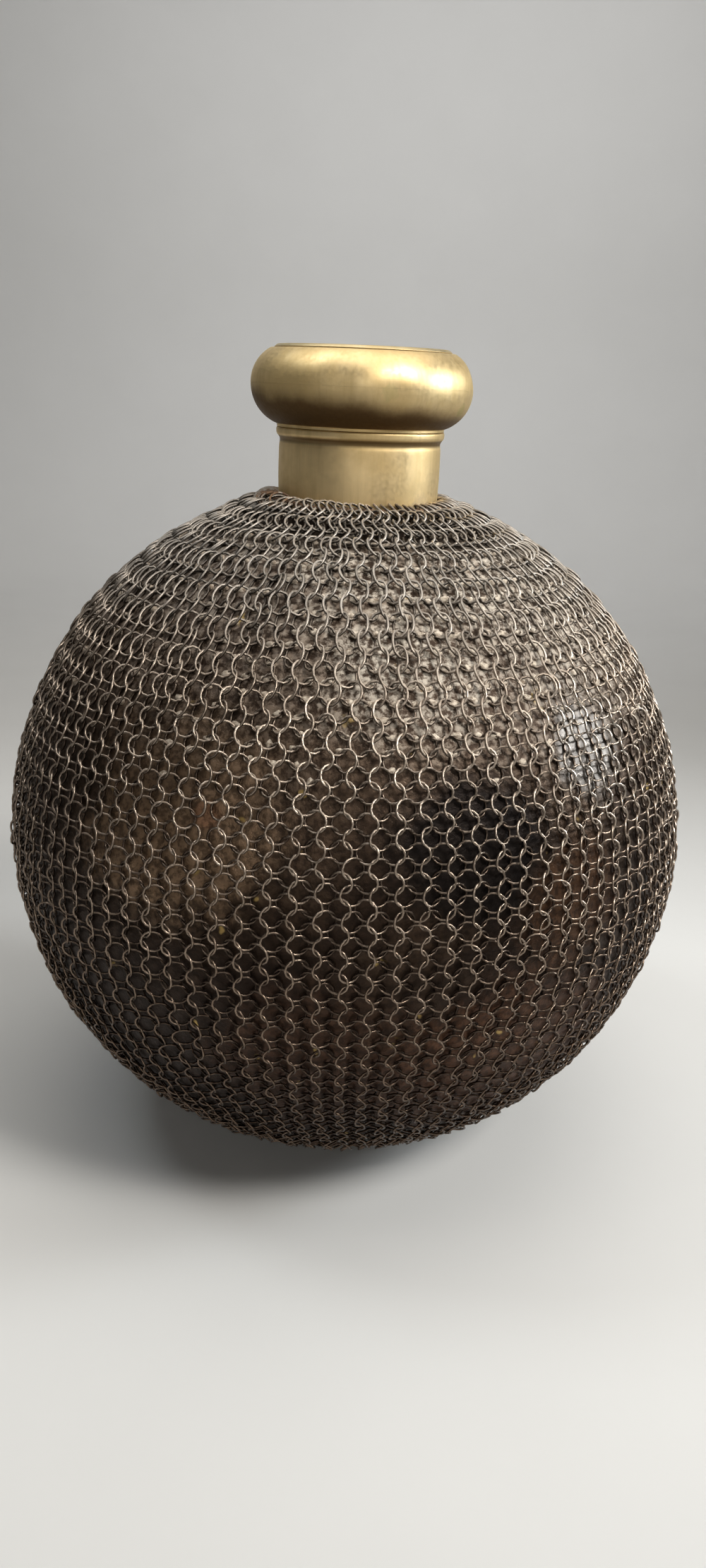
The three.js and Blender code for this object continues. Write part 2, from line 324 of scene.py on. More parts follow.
# Pale dust, partly painted light: the pale spot is a painted highlight and the paler right side is painted
# light from the right; the drifts are dust.
pale = spotted(tree, where, (0.036, -0.178, globe_centre + 0.138), 0.060, 1.0, 40.0)
right_side_light = sums(tree, "ADD", across_of, graded(tree, cloud, 0.3, 0.7, -0.05, 0.05))
pale = sums(tree, "MAXIMUM", pale, graded(tree, right_side_light, 0.0, 0.13, 0.0, 0.6))
drifts = graded(tree, noise(tree, where, 85.0, 3.0, 0.6), 0.42, 0.56)
drift_level = graded(tree, height_of, globe_centre + 0.150, globe_centre + 0.180, 0.0, 0.9)
drifts = times(tree, drifts, drift_level)
drifts = times(tree, drifts, graded(tree, swept, 0.0, 1.0, 1.0, 0.4))
pale = sums(tree, "MAXIMUM", pale, drifts)
grains = graded(tree, dusty["Grains"], 0.36, 0.64)
dust_tint = blended(tree, grains, (0.095, 0.068, 0.048, 1), (0.34, 0.265, 0.20, 1))
pale_tint = blended(tree, grains, (0.22, 0.175, 0.135, 1), (0.80, 0.72, 0.605, 1))
dust_tint = blended(tree, pale, dust_tint, pale_tint)
feed(tree, shader, {"Base Color": blended(tree, dust, ground, dust_tint)})
feed(tree, shader, {"Metallic": graded(tree, dust, 0.0, 0.8, 0.78, 0.05)})
matt = sums(tree, "ADD", graded(tree, speck, 0.3, 0.7, 0.52, 0.36), times(tree, dust, 0.35))
matt = sums(tree, "SUBTRACT", matt, times(tree, polished, 0.10))
feed(tree, shader, {"Roughness": matt})
bump = place(tree, "Bump", {"Height": speck, "Strength": 0.6, "Distance": 0.0014})
feed(tree, shader, {"Normal": bump.outputs["Normal"]})

for piece, node in ((upper_dome, "body_upper_dome"), (lower_bowl, "body_lower_bowl")):
    piece.data.materials.append(globe_finish)
    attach(piece, "root")
    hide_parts(node)

# Neck: a tube of sheet brass whose foot is turned out under the shoulder and brazed there.
# Its top is worked out into a hollow flare that carries the lip.
neck_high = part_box("neck_collar")[1]
neck_top = neck_high.z
neck_wall = 0.0018
neck_bore = 0.0515
flange_radius = neck_high.x
flare_radius = 0.0550
neck_turns = 160


def rounded(stops, passes=3):
    """Smooth curve along the stops by cutting corners: each pass puts two points on every line between
    stops, a quarter and three quarters along it, and the two ends stay."""
    curve = np.asarray(stops, float)
    for _ in range(passes):
        near = 0.75 * curve[:-1] + 0.25 * curve[1:]
        far = 0.25 * curve[:-1] + 0.75 * curve[1:]
        between = np.stack([near, far], axis=1).reshape(-1, 2)
        curve = np.concatenate([curve[:1], between, curve[-1:]])
    return curve


foot_height = globe_centre + math.sqrt(tongue_radius ** 2 - flange_radius ** 2)
under_height = globe_centre + math.sqrt((tongue_radius - neck_wall) ** 2 - flange_radius ** 2)
shoulder_height = globe_centre + math.sqrt(globe_radius ** 2 - shoulder_hole ** 2)
neck_outside = rounded([
    (flange_radius, foot_height), (0.0560, shoulder_height - 0.0022), (0.0532, shoulder_height - 0.0006),
    (0.0529, shoulder_height + 0.004), (0.0532, shoulder_height + 0.011), (0.0535, shoulder_height + 0.021),
    (0.0534, neck_top - 0.017), (0.0533, neck_top - 0.0112), (0.0530, neck_top - 0.0096),
    (0.0528, neck_top - 0.0082), (0.0530, neck_top - 0.0068), (0.0538, neck_top - 0.0056),
    (0.0547, neck_top - 0.0046), (0.0552, neck_top - 0.0036), (0.0553, neck_top - 0.0022),
    (0.0553, neck_top - 0.0009), (0.0549, neck_top - 0.0001), (0.0544, neck_top)])
neck_inside = rounded([
    (0.0538, neck_top), (0.0530, neck_top - 0.0012), (0.0518, neck_top - 0.0045),
    (neck_bore, neck_top - 0.008), (neck_bore, neck_top - 0.025), (neck_bore, shoulder_height + 0.006),
    (0.0518, shoulder_height - 0.003), (0.0545, under_height + 0.0028), (flange_radius, under_height)])
neck_profile = np.concatenate([neck_outside, neck_inside])
neck_turn = np.arange(neck_turns) * 2 * math.pi / neck_turns
neck_wobble = 0.00016 * np.sin(2 * neck_turn + 0.7) + 0.00008 * np.sin(5 * neck_turn + 2.0)
neck = turned_sheet("neck", neck_profile[:, :1] + neck_wobble[None, :],
                    neck_profile[:, 1:] + 0 * neck_wobble[None, :], crease=50)

# Brass age group: clouds of tarnish, upright streaks from wiping, and small pits.
brass_age, given, result = new_group(
    "brass_age",
    [("Where", "Vector"), ("Cloud size", "Float"), ("Pit share", "Float")],
    [("Cloud", "Float"), ("Streak", "Float"), ("Pit", "Float"), ("Fine", "Float")])
clouds = noise(brass_age, given["Where"], given["Cloud size"], 5.0, 0.6)
stretch = place(brass_age, "Mapping", {0: given["Where"], 3: (1.0, 1.0, 0.07)}).outputs[0]
streaks = noise(brass_age, stretch, 130.0, 4.0, 0.6)
fine = noise(brass_age, given["Where"], 420.0, 3.0, 0.6)
cells = place(brass_age, "TexVoronoi", {
    "Vector": given["Where"], "Scale": 190.0, "Randomness": 1.0})
pit_size = sums(brass_age, "SUBTRACT", place(
    brass_age, "SeparateColor", {0: cells.outputs["Color"]}).outputs[0], given["Pit share"])
pit_size = times(brass_age, pit_size, -1.6)
pit = sums(brass_age, "LESS_THAN", cells.outputs["Distance"], pit_size)
for label, value in (("Cloud", clouds), ("Streak", streaks), ("Pit", pit), ("Fine", fine)):
    brass_age.links.new(value, result[label])


def aged_brass(name, bright, dull, brown, low_bright, low_brown, high_bright, spots, pit_share, slope=0.0,
               hollow=-1.0):
    """Aged brass: bright metal clouded with dull, brown up to one height and clear from another on, and
    clear below a lowest one, with pits and with round stains, each given as middle, radius, colour and share.
    The brown reaches lower towards +X by the slope; it is browning, and on the lip painted shade, a painted
    dark reflection of its lower half. A darker brown ring of painted shade lies at the height of a hollow."""
    material, tree, shader, where = new_material(name)
    age = use_group(tree, brass_age, {"Where": where, "Cloud size": 26.0, "Pit share": pit_share})
    metal = blended(tree, graded(tree, age["Cloud"], 0.34, 0.68, 0.0, 0.65), bright, dull)
    metal = blended(tree, graded(tree, age["Streak"], 0.45, 0.70, 0.0, 0.38), metal, dull)
    apart = place(tree, "SeparateXYZ", {0: where})
    height_of, across_of = apart.outputs["Z"], apart.outputs["X"]
    ragged = sums(tree, "ADD", height_of, times(tree, sums(
        tree, "SUBTRACT", age["Cloud"], 0.5), 0.016))
    ragged = sums(tree, "ADD", ragged, times(tree, across_of, slope))
    # Brown band: browning, and on the lip painted shade, a painted dark reflection of its lower half.
    browning_and_painted_shade = graded(tree, ragged, low_brown, high_bright, 1.0, 0.0)
    browning_and_painted_shade = times(tree, browning_and_painted_shade, graded(tree, height_of, low_bright, low_bright + 0.0006))
    metal = blended(tree, browning_and_painted_shade, metal, brown)
    # Painted shade: a darker brown ring at the height of the hollow.
    painted_shade = times(tree, graded(tree, height_of, hollow - 0.0034, hollow - 0.0008, 0.0, 0.88),
                  graded(tree, height_of, hollow + 0.0008, hollow + 0.0024, 1.0, 0.0))
    metal = blended(tree, painted_shade, metal, (0.17, 0.105, 0.045, 1))
    matt = times(tree, browning_and_painted_shade, 0.10)
    for middle, radius, tint, share in spots:
        spot = times(tree, spotted(tree, where, middle, radius, 1.3, 210.0), share)
        metal = blended(tree, spot, metal, tint)
        matt = sums(tree, "ADD", matt, times(tree, spot, 0.3))
    metal = blended(tree, times(tree, age["Pit"], 0.75), metal, (0.05, 0.032, 0.018, 1))
    feed(tree, shader, {"Base Color": metal, "Metallic": 1.0})
    gloss = graded(tree, age["Cloud"], 0.3, 0.7, 0.44, 0.55)
    gloss = sums(tree, "ADD", gloss, graded(tree, age["Fine"], 0.3, 0.7, -0.04, 0.05))
    feed(tree, shader, {"Roughness": sums(tree, "ADD", gloss, matt)})
    relief = sums(tree, "ADD", times(tree, age["Fine"], 0.12), times(tree, age["Streak"], 0.2))
    relief = sums(tree, "SUBTRACT", relief, age["Pit"])
    bump = place(tree, "Bump", {"Height": relief, "Strength": 0.3, "Distance": 0.0003})
    feed(tree, shader, {"Normal": bump.outputs["Normal"]})
    return material


# The darker brown ring in the neck's hollow under the flare is painted shade.
neck_finish = aged_brass(
    "wiped_neck_brass", (0.93, 0.715, 0.39, 1), (0.60, 0.44, 0.205, 1), (0.48, 0.36, 0.19, 1),
    shoulder_height - 0.02, shoulder_height - 0.006, shoulder_height + 0.008,
    [((0.0415, -0.033, shoulder_height + 0.002), 0.012, (0.36, 0.30, 0.24, 1), 0.35)], 0.02,
    hollow=neck_top - 0.0066)
neck.data.materials.append(neck_finish)
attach(neck, "root")
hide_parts("neck_collar")

# Lip: a hollow ring made of two spun shells of sheet brass, brazed along their widest line.
# The lower shell stands on the flare with a thin foot, and years of knocks have left soft dents round it.
lip_low, lip_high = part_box("lip_lower_shell")
lip_radius = lip_high.x
lip_middle = lip_high.z + seat_gap / 2
lip_foot = lip_low.z
lip_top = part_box("lip_upper_shell")[1].z
lip_wall = 0.0014
lower_arc = 0.0264
upper_arc = 0.0248
lip_bore = 0.0515
foot_rise = 0.0016
lip_turns = 192
lip_turn = np.arange(lip_turns) * 2 * math.pi / lip_turns
knocks = np.random.default_rng(5)
stray_knocks = 15
knock_turn = np.concatenate([
    np.radians([-4.0, -74.0, -86.0, -101.0, -118.0]), knocks.uniform(0, 2 * math.pi, stray_knocks)])
knock_rise = np.concatenate([
    [0.0075, -0.003, 0.004, -0.001, 0.005], knocks.normal(0, 0.006, stray_knocks)])
knock_depth = np.concatenate([
    [0.0013, 0.0008, -0.0006, 0.0008, -0.0005], knocks.uniform(-0.0006, 0.0009, stray_knocks)])
knock_size = np.concatenate([
    [0.006, 0.010, 0.010, 0.011, 0.011], knocks.uniform(0.008, 0.015, stray_knocks)])


def lip_arc(section, low, high, steps):
    """Angles round a lip section, in even steps, between the heights low and high from its middle, where
    angle = arc sine of height / section."""
    return np.linspace(math.asin(low / section), math.asin(high / section), steps)


def dented_lip(section, angle):
    """Tables of radius and height of the lip's skin: a circle of radius 'section' less the dents, which are
    round bells of given depth and size at given turns and heights round the widest line."""
    round_way = (lip_turn[None, None, :] - knock_turn[:, None, None] + math.pi) % (2 * math.pi) - math.pi
    up_way = section * angle[None, :, None] - knock_rise[:, None, None]
    size = knock_size[:, None, None]
    bells = np.exp(-(round_way * lip_radius / size) ** 2 - (up_way / size) ** 2)
    skin = section - (knock_depth[:, None, None] * bells).sum(axis=0)
    middle = lip_radius - section
    return middle + skin * np.cos(angle)[:, None], lip_middle + skin * np.sin(angle)[:, None]


def lip_shell(name, arc, low, high, start, end):
    """Shell of the lip: its outer skin from low to high, an end turned to the bore, and the inner skin a
    wall's thickness inside, with extra stops of plain radius and height before and after the outer skin."""
    outer = dented_lip(arc, lip_arc(arc, low, high, 40))
    inner_arc = arc - lip_wall
    limit = inner_arc * 0.985
    inner_angle = lip_arc(inner_arc, np.clip(high, -limit, limit), np.clip(low, -limit, limit), 20)
    inner = dented_lip(arc, inner_angle)
    shrink = inner_arc / arc
    inner = ((inner[0] - (lip_radius - arc)) * shrink + lip_radius - arc,
             (inner[1] - lip_middle) * shrink + lip_middle)
    flat = np.ones((1, lip_turns))
    radius = [stop[0] * flat for stop in start] + [outer[0]] + [stop[0] * flat for stop in end] + [inner[0]]
    height = [stop[1] * flat for stop in start] + [outer[1]] + [stop[1] * flat for stop in end] + [inner[1]]
    return turned_sheet(name, np.concatenate(radius), np.concatenate(height), crease=40)


hair = 0.00002
foot_top = lip_foot + foot_rise
lower_lip = lip_shell(
    "lower_lip", lower_arc, foot_top - lip_middle, -hair,
    [(lip_bore, lip_foot), (flare_radius - 0.0002, lip_foot), (flare_radius, lip_foot + 0.0002)], [])
upper_lip = lip_shell(
    "upper_lip", upper_arc, hair, lip_top - lip_middle, [],
    [(lip_bore, lip_top), (lip_bore, lip_top - lip_wall)])
# The lip's dark brown lower half, reaching lower towards +X, is painted shade: a painted dark reflection.
lip_finish = aged_brass(
    "dented_lip_brass", (0.93, 0.725, 0.395, 1), (0.58, 0.42, 0.185, 1), (0.14, 0.086, 0.038, 1),
    foot_top, lip_middle - 0.016, lip_middle - 0.001,
    [((0.0166, -0.0706, lip_middle - 0.003), 0.0062, (0.36, 0.36, 0.17, 1), 0.25),
     ((0.063, -0.029, lip_middle - 0.0126), 0.0058, (0.27, 0.27, 0.10, 1), 0.4)], 0.015, 0.10)
for piece, node in ((lower_lip, "lip_lower_shell"), (upper_lip, "lip_upper_shell")):
    piece.data.materials.append(lip_finish)
    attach(piece, "root")
    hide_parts(node)

# Mouth sleeve: a tube of sheet brass through the lip and down into the neck.
# Its top is hammered out over the lip as a thin sloped rim, worn bright on the edge.
sleeve_low, sleeve_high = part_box("mouth_sleeve")
rim_top = sleeve_high.z
rim_radius = sleeve_high.x
rim_under = rim_top - 0.0020
sleeve_radius = 0.0512
throat = 0.0496
sleeve_profile = np.concatenate([
    rounded([(throat, sleeve_low.z + 0.0010), (throat, sleeve_low.z), (sleeve_radius, sleeve_low.z),
             (sleeve_radius, sleeve_low.z + 0.0010)]),
    rounded([(sleeve_radius, rim_under - 0.0010), (sleeve_radius, rim_under), (0.0522, rim_under)]),
    rounded([(0.0566, rim_under), (rim_radius, rim_under), (rim_radius, rim_under + 0.0005),
             (rim_radius - 0.0020, rim_top), (rim_radius - 0.0030, rim_top)]),
    rounded([(throat + 0.0020, rim_top), (throat, rim_top), (throat, rim_top - 0.0020)])])
rim_beat = (0.00012 * np.sin(9 * neck_turn + 1.0) + 0.00009 * np.sin(14 * neck_turn)
            + 0.00007 * np.sin(23 * neck_turn))
rim_share = np.clip((sleeve_profile[:, :1] - 0.0545) / 0.003, 0, 1)
mouth = turned_sheet("mouth_sleeve_rim", sleeve_profile[:, :1] + rim_share * rim_beat[None, :],
                     sleeve_profile[:, 1:] + 0 * rim_beat[None, :], crease=45)
rim_finish = aged_brass(
    "worn_rim_brass", (0.72, 0.60, 0.37, 1), (0.52, 0.40, 0.20, 1), (0.14, 0.09, 0.045, 1),
    rim_top - 0.2, rim_top - 0.045, rim_top - 0.006, [], 0.02)
mouth.data.materials.append(rim_finish)
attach(mouth, "root")
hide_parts("mouth_sleeve")

# Mail round the globe: rings of iron wire, bent round a rod, cut and closed by hand. Rings pass through two
# of the row above and two of the row below, and the rows lean left and right by turns. On the shoulder the
# rows are pulled apart, and the rings are taller, so that they still link.
ring_radius = 0.00632
ring_wire = 0.00078
ring_steps = 14
wire_sides = 4
mail_seat = globe_radius + 0.00025
mail_sphere = 0.2317
wire_low, wire_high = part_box("neck_draw_wire")
hoop_thickness = (wire_high.z - wire_low.z) / 2
hoop_radius = wire_high.x - hoop_thickness
hoop_height = (wire_low.z + wire_high.z) / 2
top_rise = math.atan2(hoop_height - globe_centre, hoop_radius) - 0.0040 / mail_sphere
low_rise = -math.radians(70.4)
full_columns = 100
mail_depth = 0.0066
side_room = 0.0037
place_stray = 0.00025
row_stray = 0.00022
slant_stray = 2.8
nod_stray = 3.8
size_stray = 0.02
oval_stray = 0.026
heap_turn = math.radians(197)
heap_reach = math.radians(34)


def heaped(turn):
    """Share of the heap of rings beside the neck: a bell of the turn, 1 in the middle of the heap."""
    way = (turn - heap_turn + math.pi) % (2 * math.pi) - math.pi
    return np.exp(-(way / heap_reach) ** 2)


fine_rise = np.linspace(top_rise, low_rise, 6000)
row_pitch = np.interp(np.degrees(fine_rise), [-30, -12, -5, 0, 7, 26, 35, 46, 52, 59, 65, 76],
                      [0.0085, 0.0083, 0.0076, 0.0072, 0.0074, 0.0085, 0.0098, 0.0113, 0.0127, 0.0129, 0.0120,
                       0.0110])
rows_passed = np.concatenate([[0], np.cumsum((fine_rise[0] - fine_rise[1]) * mail_sphere / row_pitch)[:-1]])
row_count = int(rows_passed[-1]) + 1
row_rise = np.interp(np.arange(row_count), rows_passed, fine_rise)

row = np.arange(row_count)[:, None]
column = np.arange(full_columns)[None, :]
spare_top = column % 4 == 1
spare_low = column % 4 == 3
spare = spare_top | spare_low
spare_order = (column // 4 * 0.618034) % 1.0
rise_degrees = np.degrees(row_rise)[:, None]
kept_top = 1 - eased(np.abs(rise_degrees), 35, 75)
kept_low = 1 - eased(-rise_degrees, 44, 70)
share_kept = np.where(spare_low, kept_low, np.minimum(kept_top, 0.3 + 0.7 * kept_low))
kept = ~spare | (share_kept > spare_order)
first_row = np.where(kept, row, row_count).min(axis=0)[None, :]
last_row = np.where(kept, row, -1).max(axis=0)[None, :]
after_start = np.where(first_row > 0, row - first_row, 5)
before_end = np.where(last_row < row_count - 1, last_row - row, 5)
ramp = 0.3 + 0.7 * np.minimum(after_start, before_end) / 5
width = np.where(kept, np.where(spare, np.clip(ramp, 0.3, 1), 1.0), 0.0)
right_edge = np.cumsum(width, axis=1) / width.sum(axis=1, keepdims=True)
half_width = width / 2 / width.sum(axis=1, keepdims=True)
drift = ((right_edge - half_width - (column + 0.5) / full_columns) * width).sum(axis=1) / width.sum(axis=1)
right_edge = right_edge - drift[:, None]
odd = row % 2 == 1
ring_turn = 2 * math.pi * np.where(odd, right_edge, right_edge - half_width)

ring_row = np.broadcast_to(row, kept.shape)[kept]
turn = ring_turn[kept]
lean = np.where(ring_row % 2 == 1, -1.0, 1.0)
columns_in_row = kept.sum(axis=1)[ring_row]
chance = np.random.default_rng(7)
rings = len(turn)
rise = row_rise[ring_row]
sway_phase = chance.uniform(0, 2 * math.pi, (row_count, 2))[ring_row]
rise = rise + np.radians(0.22) * np.sin(3 * turn + 0.10 * ring_row) + np.radians(0.10) * np.sin(
    7 * turn + sway_phase[:, 0])
pitch = 2 * math.pi * mail_sphere * np.cos(rise) / columns_in_row
turn = turn + (0.10 * np.sin(2 * turn + 0.5 + 0.05 * ring_row) * pitch + chance.normal(
    0, place_stray, rings)) / (mail_sphere * np.cos(rise))
rise = rise + chance.normal(0, row_stray, rings) / mail_sphere
elevation = np.degrees(rise)
stretch = eased(elevation, 20, 50)
slant = np.arcsin(np.clip(np.maximum(0.375 + 0.15 * stretch, side_room / pitch), 0, 0.6)) + np.radians(
    chance.normal(0, slant_stray, rings))
nod = np.radians(chance.normal(0, nod_stray, rings))
taller = eased(elevation, 20, 46) * (1 - eased(elevation, 63, 71))
size = ring_radius + 0.00045 * stretch + 0.00050 * taller
size = size * (1 + np.clip(chance.normal(0, size_stray, rings), -0.05, 0.05))
oval = 0.045 - 0.165 * stretch - 0.055 * taller + chance.normal(0, oval_stray, rings)
wire = ring_wire * (0.92 + 0.16 * eased(elevation, -20, 45))
tone = chance.uniform(0, 1, rings)

bunch = heaped(turn) * np.interp(ring_row, [0, 1, 2, 3], [1, 0.62, 0.26, 0])
bunch_lift = 0.0030 * bunch * (0.8 + 0.4 * tone)
rust_level = eased(elevation, 69.5, 74) * (0.1 + 0.5 * tone) + 0.4 * bunch
rust_level = np.clip(rust_level + 0.35 * (chance.uniform(0, 1, rings) > 0.96), 0, 1)

outward = np.stack([np.cos(rise) * np.cos(turn), np.cos(rise) * np.sin(turn), np.sin(rise)], axis=1)
sideways = np.stack([-np.sin(turn), np.cos(turn), 0 * turn], axis=1)
upward = np.cross(outward, sideways)
lift = mail_seat + size * (1 + oval) * np.sin(slant) + wire + bunch_lift
ring_middle = outward * lift[:, None] + np.array([[0, 0, globe_centre]])
facing = (outward * np.cos(slant)[:, None] + sideways * (lean * np.sin(slant))[:, None]
          + upward * np.sin(nod)[:, None])
lost = np.arange(rings) == np.argmax(outward @ np.array(lost_ring_way))

clump_sides = 8
clump_edge = -0.0002
clump_root = -0.0006
dust_chance = np.random.default_rng(23)
clump_share = eased(elevation, 20, 38) * (1 - 0.75 * eased(elevation, 66, 72))
clump_share = clump_share * (1 - 0.65 * swept_clean(np.degrees(turn) % 360, elevation))
clumped = dust_chance.uniform(0, 1, rings) < 0.94 * clump_share
clump_grow = (0.6 + 0.4 * clump_share) * dust_chance.uniform(0.65, 1.15, rings)
clump_wide = 0.80 * size * clump_grow
clump_tall = 0.40 * size * dust_chance.uniform(0.7, 1.25, rings)
clump_high = 0.0012 + 0.0018 * clump_grow + 0.0006 * eased(elevation, 44, 54)
clump_across = size * (0.26 * lean + dust_chance.normal(0, 0.10, rings))
clump_up = -size * (0.60 + dust_chance.normal(0, 0.06, rings))
clump_ragged = dust_chance.uniform(0.72, 1.25, (rings, clump_sides))


def dust_clumps(chosen):
    """Low closed mounds of caked dust, one in the lower part of each chosen ring: eight places round an oval
    on the globe's skin, eight on a smaller oval part of the way up, one on top of the middle and one sunk
    under it. Returns points and quads."""
    round_clump = np.arange(clump_sides) * 2 * math.pi / clump_sides
    shares = np.array([1.0, 0.62])[None, :, None]
    reach = clump_ragged[chosen, None, :] * shares
    middle_across, middle_up = clump_across[chosen, None], clump_up[chosen, None]
    across = clump_wide[chosen, None, None] * np.cos(round_clump) * reach
    up = clump_tall[chosen, None, None] * np.sin(round_clump) * reach
    across = across.reshape(-1, 2 * clump_sides) + middle_across
    up = up.reshape(-1, 2 * clump_sides) + middle_up
    across = np.concatenate([across, middle_across, middle_across], axis=1)[..., None]
    up = np.concatenate([up, middle_up, middle_up], axis=1)[..., None]
    way = outward[chosen, None] * globe_radius + sideways[chosen, None] * across + upward[chosen, None] * up
    way = way / np.linalg.norm(way, axis=2, keepdims=True)
    top, under = 2 * clump_sides, 2 * clump_sides + 1
    over = np.full(way.shape[:2], clump_edge)
    over[:, clump_sides:top] = 0.72 * clump_high[chosen, None]
    over[:, top] = clump_high[chosen]
    over[:, under] = clump_root
    points = way * (globe_radius + over)[..., None] + np.array([0, 0, globe_centre])
    low = np.arange(clump_sides)
    beside = (low + 1) % clump_sides
    first, second, third = low[::2], low[1::2], (low[::2] + 2) % clump_sides
    tops, unders = np.full_like(first, top), np.full_like(first, under)
    quads = np.concatenate([
        np.stack([low, beside, beside + clump_sides, low + clump_sides], axis=1),
        np.stack([tops, first + clump_sides, second + clump_sides, third + clump_sides], axis=1),
        np.stack([unders, third, second, first], axis=1)])
    start = np.arange(len(points)) * (under + 1)
    return points.reshape(-1, 3), (start[:, None, None] + quads[None]).reshape(-1, 4)


def ring_cloth(name, middle, facing, along, size, oval, wire, tone, rust, seat, clumps=None):
    """One mesh of many wire rings. Ring by ring, the point at angle a round the ring and b round the wire is
    middle + (size (1 + oval cos 2a) + w cos b)(side cos a + along sin a) + w sin b facing. The attributes are
    tone and rust of the ring, crest, which is 0 on the globe's skin and 1 at the mail's outside, and sky,
    which is the upward part of the wire's outward direction. Clumps of dust are added with sky at 2."""
    wire = wire[:, None, None, None]
    facing = facing / np.linalg.norm(facing, axis=1, keepdims=True)
    side = np.cross(along, facing)
    side = side / np.linalg.norm(side, axis=1, keepdims=True)
    along = np.cross(facing, side)
    a = (np.arange(ring_steps) * 2 * math.pi / ring_steps)[None, :]
    b = ((np.arange(wire_sides) + 0.5) * 2 * math.pi / wire_sides)[None, None, :, None]
    spoke = side[:, None, :] * np.cos(a)[:, :, None] + along[:, None, :] * np.sin(a)[:, :, None]
    reach = size[:, None] * (1 + oval[:, None] * np.cos(2 * a))
    points = (middle[:, None, None, :] + (reach[:, :, None, None] + wire * np.cos(b)) * spoke[:, :, None, :]
              + wire * np.sin(b) * facing[:, None, None, :]).reshape(-1, 3)
    index = np.arange(len(points)).reshape(-1, ring_steps, wire_sides)
    ahead = np.roll(index, -1, axis=1)
    quads = np.stack([index, ahead, np.roll(ahead, -1, axis=2), np.roll(index, -1, axis=2)], axis=-1)
    quads = quads.reshape(-1, 4)
    sky = (np.cos(b) * spoke[:, :, None, :] + np.sin(b) * facing[:, None, None, :])[..., 2].reshape(-1)
    each = ring_steps * wire_sides
    tone, rust = np.repeat(tone, each), np.repeat(rust, each)
    if clumps is not None:
        clump_points, clump_quads = clumps
        quads = np.concatenate([quads, clump_quads + len(points)])
        points = np.concatenate([points, clump_points])
        sky = np.concatenate([sky, np.full(len(clump_points), 2.0)])
        tone = np.concatenate([tone, np.full(len(clump_points), 0.5)])
        rust = np.concatenate([rust, np.zeros(len(clump_points))])
    piece = put_mesh(name, points, quads)
    crest = (seat(points) / mail_depth).clip(0, 1)
    for label, values in (("tone", tone), ("rust", rust), ("crest", crest), ("sky", sky)):
        layer = piece.data.attributes.new(label, "FLOAT", "POINT")
        layer.data.foreach_set("value", values.astype(np.float32))
    return piece


def over_globe(points):
    """Heights over the globe's skin."""
    return np.linalg.norm(points - np.array([[0, 0, globe_centre]]), axis=1) - globe_radius


# Rust group: brown rust in blooms, heavier where the amount is high.
rust_bloom, given, result = new_group(
    "rust_bloom", [("Where", "Vector"), ("Amount", "Float"), ("Grain", "Float")],
    [("Rust", "Float"), ("Tint", "Color")])
blooms = noise(rust_bloom, given["Where"], given["Grain"], 4.0, 0.6)
start = sums(rust_bloom, "SUBTRACT", 0.86, times(rust_bloom, given["Amount"], 0.62))
rusted = place(rust_bloom, "MapRange", {
    "Value": blooms, "From Min": start, "From Max": sums(rust_bloom, "ADD", start, 0.16)},
    interpolation_type="SMOOTHSTEP").outputs["Result"]
rust_bloom.links.new(rusted, result["Rust"])
rust_bloom.links.new(blended(rust_bloom, graded(rust_bloom, blooms, 0.4, 0.65), (0.10, 0.050, 0.026, 1),
                             (0.28, 0.175, 0.105, 1)), result["Tint"])

mail_finish, tree, shader, where = new_material("worn_mail_iron")
tone_of, crest_of, rust_of, sky_of = [
    place(tree, "Attribute", {}, attribute_name=label).outputs["Fac"]
    for label in ("tone", "crest", "rust", "sky")]
apart = place(tree, "SeparateXYZ", {0: where})
height_of, across_of = apart.outputs["Z"], apart.outputs["X"]
grit = noise(tree, where, 520.0, 3.0, 0.6)
dull_iron = blended(tree, tone_of, (0.075, 0.052, 0.038, 1), (0.150, 0.110, 0.084, 1))
worn_iron = blended(tree, tone_of, (0.36, 0.29, 0.23, 1), (0.58, 0.48, 0.39, 1))
low_down = graded(tree, height_of, globe_centre - 0.12, globe_centre + 0.11, 0.65, 0.0)
worn_iron = blended(tree, low_down, worn_iron, (0.45, 0.30, 0.20, 1))
wear = graded(tree, sums(tree, "ADD", crest_of, graded(tree, grit, 0.3, 0.7, -0.18, 0.18)), 0.18, 0.92)
browner = spotted(tree, where, (-0.150, -0.110, globe_centre + 0.130), 0.160, 0.6, 20.0)
wear = times(tree, wear, graded(tree, browner, 0.0, 1.0, 1.0, 0.62))
iron = blended(tree, wear, dull_iron, worn_iron)
grey_worn = blended(tree, tone_of, (0.30, 0.285, 0.26, 1), (0.46, 0.435, 0.40, 1))
grey_iron = blended(tree, wear, (0.060, 0.055, 0.050, 1), grey_worn)
greying = graded(tree, height_of, globe_centre + 0.13, globe_centre + 0.20, 0.0, 0.75)
iron = blended(tree, greying, iron, grey_iron)
# Painted shade: the undersides of the wires are painted near black.
iron = blended(tree, graded(tree, sky_of, -0.5, 0.15, 0.75, 0.0), iron, (0.018, 0.012, 0.009, 1))
